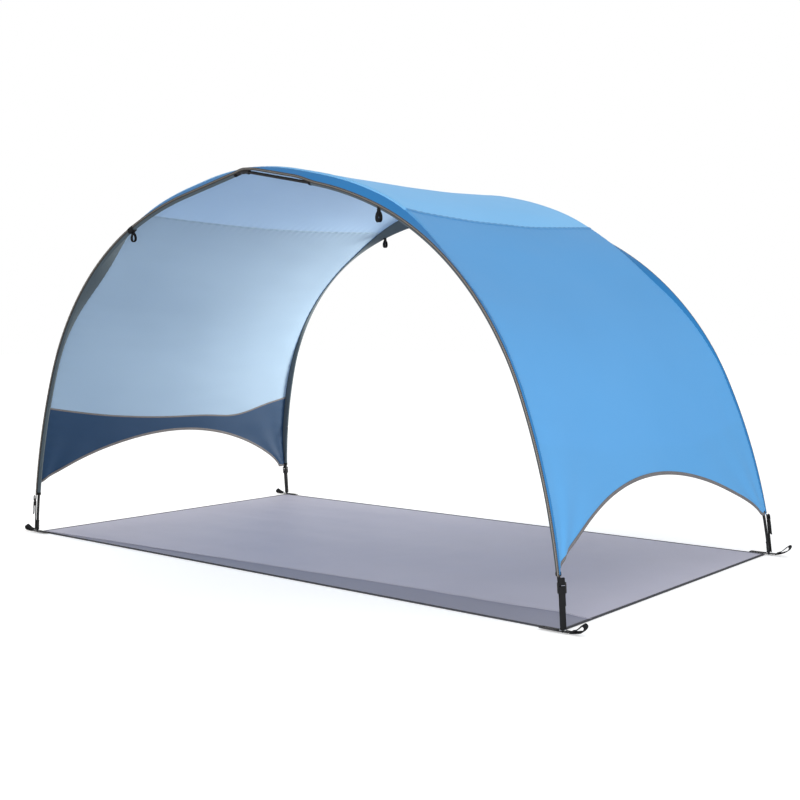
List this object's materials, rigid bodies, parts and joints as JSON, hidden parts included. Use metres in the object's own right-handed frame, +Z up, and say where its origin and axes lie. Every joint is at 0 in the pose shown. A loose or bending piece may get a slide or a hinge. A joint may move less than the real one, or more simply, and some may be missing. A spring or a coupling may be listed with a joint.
{
  "type": "tarp shelter",
  "caption": "Arched tarp shelter: two shock-corded pole hoops in sleeves hold a three-panel canopy with scalloped end walls over a ground mat, with webbing straps and loops at its corners.",
  "frame": {"origin": "on the ground, under the middle of the mat", "axes": "+X along the span of the hoops to the right, +Y from the front hoop to the back hoop, +Z up"},
  "size_m": [2.2568, 1.2383, 1.1653],
  "materials": {
    "mat_cloth": "matt woven polyester",
    "mat_binding": "woven tape",
    "roof_cloth": "coated taffeta, slight sheen",
    "wall_cloth": "coated taffeta, slight sheen",
    "band_cloth": "coated taffeta, slight sheen",
    "lining_cloth": "matt woven polyester",
    "binding_tape": "grosgrain tape",
    "sleeve_cloth": "matt woven polyester",
    "webbing": "ribbed polypropylene webbing",
    "pole_fibreglass": "satin fibreglass",
    "ferrule_steel": "zinc plated",
    "connector_plastic": "moulded, satin",
    "tip_plastic": "moulded, satin",
    "buckle_plastic": "moulded acetal",
    "eyelet_metal": "nickel plated",
    "elastic_cord": "braided elastic",
    "label_cloth": "blank satin label"
  },
  "bodies": {
    "mat_and_canopy": {"ground_mat": "mat_cloth", "mat_hem": "mat_binding", "mat_eyelets": "eyelet_metal", "front_left_corner_tab": "webbing", "front_right_corner_tab": "webbing", "back_left_corner_tab": "webbing", "back_right_corner_tab": "webbing", "roof_panel": "roof_cloth", "left_wall_panel": "wall_cloth", "left_wall_hem": "binding_tape", "left_wall_lining": "lining_cloth", "right_wall_panel": "wall_cloth", "right_wall_hem": "binding_tape", "right_wall_lining": "lining_cloth"},
    "front_hoop": {"front_facing_band": "band_cloth", "front_edge_binding": "binding_tape", "front_long_sleeve": "sleeve_cloth", "front_short_sleeve": "sleeve_cloth", "front_long_sleeve_pole": "pole_fibreglass", "front_short_sleeve_pole": "pole_fibreglass", "front_pole_ferrules": "ferrule_steel", "front_crown_connector": "connector_plastic", "front_shock_cord": "elastic_cord", "front_left_pole_tip": "tip_plastic", "front_left_strap": "webbing", "front_left_strap_anchor": "webbing", "front_right_pole_tip": "tip_plastic", "front_right_strap": "webbing", "front_right_strap_anchor": "webbing"},
    "back_hoop": {"back_facing_band": "band_cloth", "back_edge_binding": "binding_tape", "back_long_sleeve": "sleeve_cloth", "back_short_sleeve": "sleeve_cloth", "back_long_sleeve_pole": "pole_fibreglass", "back_short_sleeve_pole": "pole_fibreglass", "back_pole_ferrules": "ferrule_steel", "back_crown_connector": "connector_plastic", "back_shock_cord": "elastic_cord", "back_left_pole_tip": "tip_plastic", "back_left_strap": "webbing", "back_left_strap_anchor": "webbing", "back_right_pole_tip": "tip_plastic", "back_right_strap": "webbing", "back_right_strap_anchor": "webbing", "care_label": "label_cloth"},
    "front_left_ladder_lock": {"front_left_ladder_lock": "buckle_plastic"},
    "front_left_hang_loop": {"front_left_hang_loop": "webbing"},
    "front_left_stake_loop": {"front_left_stake_loop": "webbing"},
    "front_right_ladder_lock": {"front_right_ladder_lock": "buckle_plastic"},
    "front_right_hang_loop": {"front_right_hang_loop": "webbing"},
    "front_right_stake_loop": {"front_right_stake_loop": "webbing"},
    "back_left_ladder_lock": {"back_left_ladder_lock": "buckle_plastic"},
    "back_left_hang_loop": {"back_left_hang_loop": "webbing"},
    "back_left_stake_loop": {"back_left_stake_loop": "webbing"},
    "back_right_ladder_lock": {"back_right_ladder_lock": "buckle_plastic"},
    "back_right_hang_loop": {"back_right_hang_loop": "webbing"},
    "back_right_stake_loop": {"back_right_stake_loop": "webbing"}
  },
  "joints": [
    {"name": "front_hoop_lean", "type": "hinge", "parent": "mat_and_canopy", "child": "front_hoop", "pos_m": [0, -0.606, 0.0035], "axis": [-1, 0, 0], "range_deg": [0, 8], "stiffness_Nm_per_rad": 40, "springref_deg": -6.88, "deforming": ["roof_panel", "left_wall_panel", "left_wall_hem", "left_wall_lining", "right_wall_panel", "right_wall_hem", "right_wall_lining"]},
    {"name": "back_hoop_lean", "type": "hinge", "parent": "mat_and_canopy", "child": "back_hoop", "pos_m": [0, 0.606, 0.0035], "axis": [1, 0, 0], "range_deg": [0, 8], "stiffness_Nm_per_rad": 40, "springref_deg": -6.88, "deforming": ["roof_panel", "left_wall_panel", "left_wall_hem", "left_wall_lining", "right_wall_panel", "right_wall_hem", "right_wall_lining"]},
    {"name": "front_left_lock_tilt", "type": "hinge", "parent": "front_hoop", "child": "front_left_ladder_lock", "pos_m": [-1.05687, -0.61308, 0.10574], "axis": [0.7064, -0.7064, -0.0432], "range_deg": [0, 20], "deforming": ["front_left_strap", "front_left_strap_anchor"]},
    {"name": "front_left_hang_loop_swing", "type": "hinge", "parent": "front_hoop", "child": "front_left_hang_loop", "pos_m": [-0.50145, -0.606, 0.99683], "axis": [1, 0, 0], "range_deg": [-60, 60]},
    {"name": "front_left_stake_loop_lift", "type": "hinge", "parent": "mat_and_canopy", "child": "front_left_stake_loop", "pos_m": [-1.07854, -0.606, 0.0044], "axis": [0, 1, 0], "range_deg": [0, 80]},
    {"name": "front_right_lock_tilt", "type": "hinge", "parent": "front_hoop", "child": "front_right_ladder_lock", "pos_m": [1.05687, -0.61308, 0.10574], "axis": [0.7064, 0.7064, 0.0432], "range_deg": [0, 20], "deforming": ["front_right_strap", "front_right_strap_anchor"]},
    {"name": "front_right_hang_loop_swing", "type": "hinge", "parent": "front_hoop", "child": "front_right_hang_loop", "pos_m": [0.50145, -0.606, 0.99683], "axis": [1, 0, 0], "range_deg": [-60, 60]},
    {"name": "front_right_stake_loop_lift", "type": "hinge", "parent": "mat_and_canopy", "child": "front_right_stake_loop", "pos_m": [1.07854, -0.606, 0.0044], "axis": [0, -1, 0], "range_deg": [0, 80]},
    {"name": "back_left_lock_tilt", "type": "hinge", "parent": "back_hoop", "child": "back_left_ladder_lock", "pos_m": [-1.05687, 0.59878, 0.10573], "axis": [-0.7064, -0.7056, -0.0555], "range_deg": [0, 20], "deforming": ["back_left_strap", "back_left_strap_anchor"]},
    {"name": "back_left_hang_loop_swing", "type": "hinge", "parent": "back_hoop", "child": "back_left_hang_loop", "pos_m": [-0.38032, 0.45943, 1.0336], "axis": [1, 0, 0], "range_deg": [-60, 60]},
    {"name": "back_left_stake_loop_lift", "type": "hinge", "parent": "mat_and_canopy", "child": "back_left_stake_loop", "pos_m": [-1.07854, 0.606, 0.0044], "axis": [0, 1, 0], "range_deg": [0, 80]},
    {"name": "back_right_lock_tilt", "type": "hinge", "parent": "back_hoop", "child": "back_right_ladder_lock", "pos_m": [1.05687, 0.59878, 0.10573], "axis": [-0.7064, 0.7056, 0.0555], "range_deg": [0, 20], "deforming": ["back_right_strap", "back_right_strap_anchor"]},
    {"name": "back_right_hang_loop_swing", "type": "hinge", "parent": "back_hoop", "child": "back_right_hang_loop", "pos_m": [0.38032, 0.45943, 1.0336], "axis": [1, 0, 0], "range_deg": [-60, 60]},
    {"name": "back_right_stake_loop_lift", "type": "hinge", "parent": "mat_and_canopy", "child": "back_right_stake_loop", "pos_m": [1.07854, 0.606, 0.0044], "axis": [0, -1, 0], "range_deg": [0, 80]}
  ]
}
